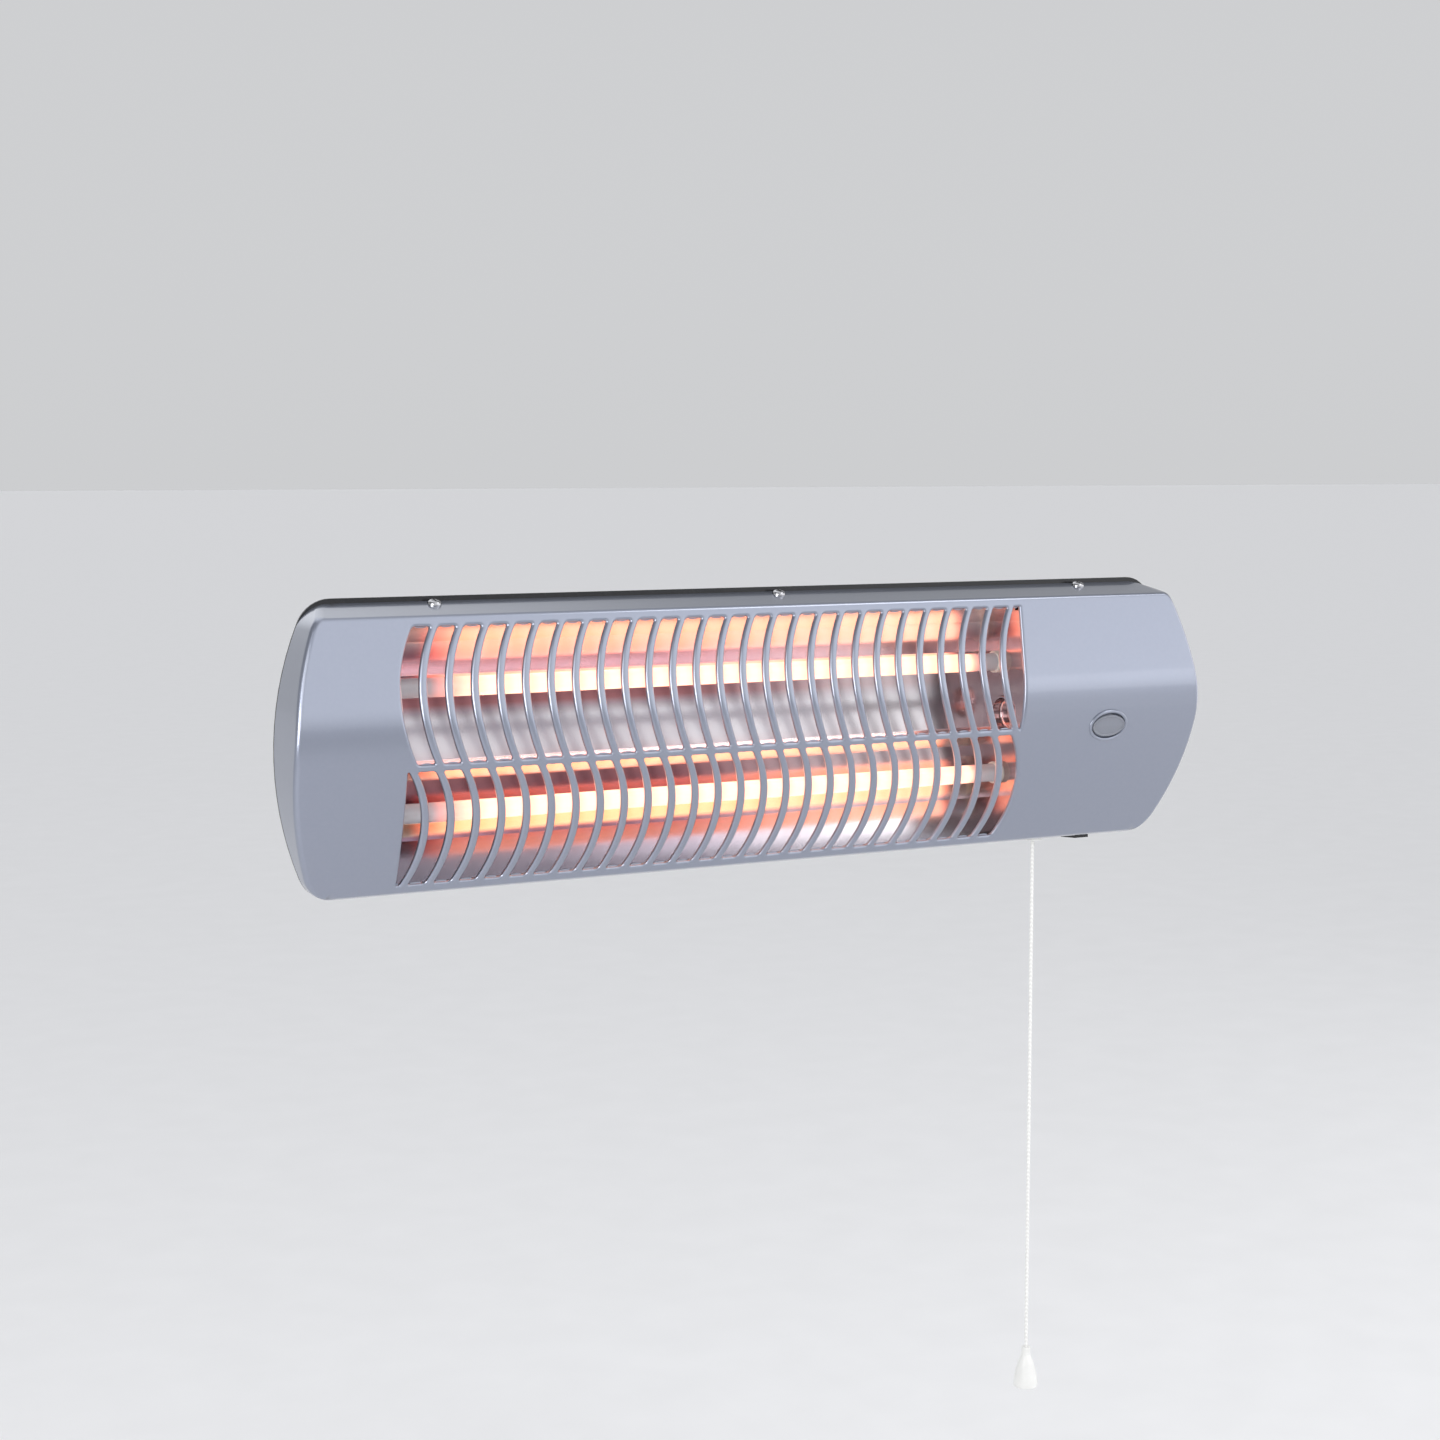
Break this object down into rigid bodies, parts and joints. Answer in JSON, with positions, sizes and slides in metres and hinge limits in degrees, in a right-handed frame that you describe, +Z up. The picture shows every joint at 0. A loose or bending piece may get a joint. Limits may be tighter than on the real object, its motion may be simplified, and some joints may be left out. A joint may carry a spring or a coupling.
{
  "type": "infrared radiant heater",
  "caption": "Wall-mounted quartz infrared heater with curved slots in a pressed cover, a tilting wall bracket and a pull-cord switch.",
  "frame": {"origin": "on the wall, midway between the two wall screw holes of the bracket", "axes": "+X along the heater to its switch end, +Y into the wall, +Z up; the front faces -Y"},
  "size_m": [0.54, 0.0943, 0.4742],
  "materials": {
    "cover_paint": "satin metallic paint, silver blue-grey",
    "bezel_trim": "satin",
    "lens_plastic": "clear, polished",
    "black_plastic": "fine matte",
    "lamp_glass": "clear",
    "black_paint": "fine matte powder coat",
    "screw_steel": "bright plated",
    "reflector_sheet": "polished",
    "polished_plate": "mirror polished",
    "cap_ceramic": "unglazed",
    "quartz_glass": "clear",
    "glowing_coil": "hot, glows yellow-white",
    "spring_steel": "drawn wire",
    "white_plastic": "moulded",
    "cord_fibre": "fine braid",
    "brass_parts": "plain",
    "wire_sleeve": "woven glass sleeve",
    "fibre_washer": "pressed fibre"
  },
  "bodies": {
    "wall_mount": {"wall_bracket": "black_paint", "friction_washers": "fibre_washer"},
    "switch_pull": {"switch_plunger": "white_plastic"},
    "cord": {"pull_cord": "cord_fibre", "cord_knob": "white_plastic"},
    "left_clamp": {"left_pivot_bolt": "screw_steel", "left_clamp_knob": "black_plastic"},
    "right_clamp": {"right_pivot_bolt": "screw_steel", "right_clamp_knob": "black_plastic"},
    "heater": {"front_cover": "cover_paint", "indicator_bezel": "bezel_trim", "indicator_lens": "lens_plastic", "lamp_holder": "black_plastic", "neon_lamp": "lamp_glass", "rear_housing": "black_paint", "cover_screws": "screw_steel", "upper_reflector": "reflector_sheet", "lower_reflector": "reflector_sheet", "left_end_plate": "polished_plate", "right_end_plate": "polished_plate", "left_ceramic_caps": "cap_ceramic", "right_ceramic_caps": "cap_ceramic", "chassis_screws": "screw_steel", "upper_quartz_tube": "quartz_glass", "lower_quartz_tube": "quartz_glass", "upper_heating_coil": "glowing_coil", "lower_heating_coil": "glowing_coil", "switch_body": "black_plastic", "switch_nut": "screw_steel", "switch_spring": "spring_steel", "cord_bush": "white_plastic", "terminal_block": "cap_ceramic", "terminal_screws": "brass_parts", "earth_stud": "brass_parts", "earth_nut": "brass_parts", "cable_gland": "black_plastic", "gland_nut": "black_plastic", "internal_wires": "wire_sleeve", "tilt_lugs": "black_paint", "lug_rivets": "screw_steel", "lock_nuts": "screw_steel"}
  },
  "joints": [
    {"name": "tilt", "type": "hinge", "parent": "wall_mount", "child": "heater", "pos_m": [0, -0.024, -0.02], "axis": [1, 0, 0], "range_deg": [0, 30]},
    {"name": "left_clamp_turn", "type": "hinge", "parent": "heater", "child": "left_clamp", "pos_m": [0, -0.024, -0.02], "axis": [1, 0, 0], "continuous": true},
    {"name": "right_clamp_turn", "type": "hinge", "parent": "heater", "child": "right_clamp", "pos_m": [0, -0.024, -0.02], "axis": [1, 0, 0], "continuous": true},
    {"name": "cord_pull", "type": "slide", "parent": "heater", "child": "switch_pull", "axis": [0, 0, -1], "range_m": [0, 0.008], "stiffness_N_per_m": 600, "springref_m": -0.005, "deforming": ["switch_spring"]},
    {"name": "cord_swing", "type": "hinge", "parent": "switch_pull", "child": "cord", "pos_m": [0.185, -0.051, -0.0762], "axis": [1, 0, 0], "range_deg": [-30, 0]}
  ],
  "couplings": [
    {"joint": "cord_swing", "follows": "tilt", "ratio": -1}
  ]
}
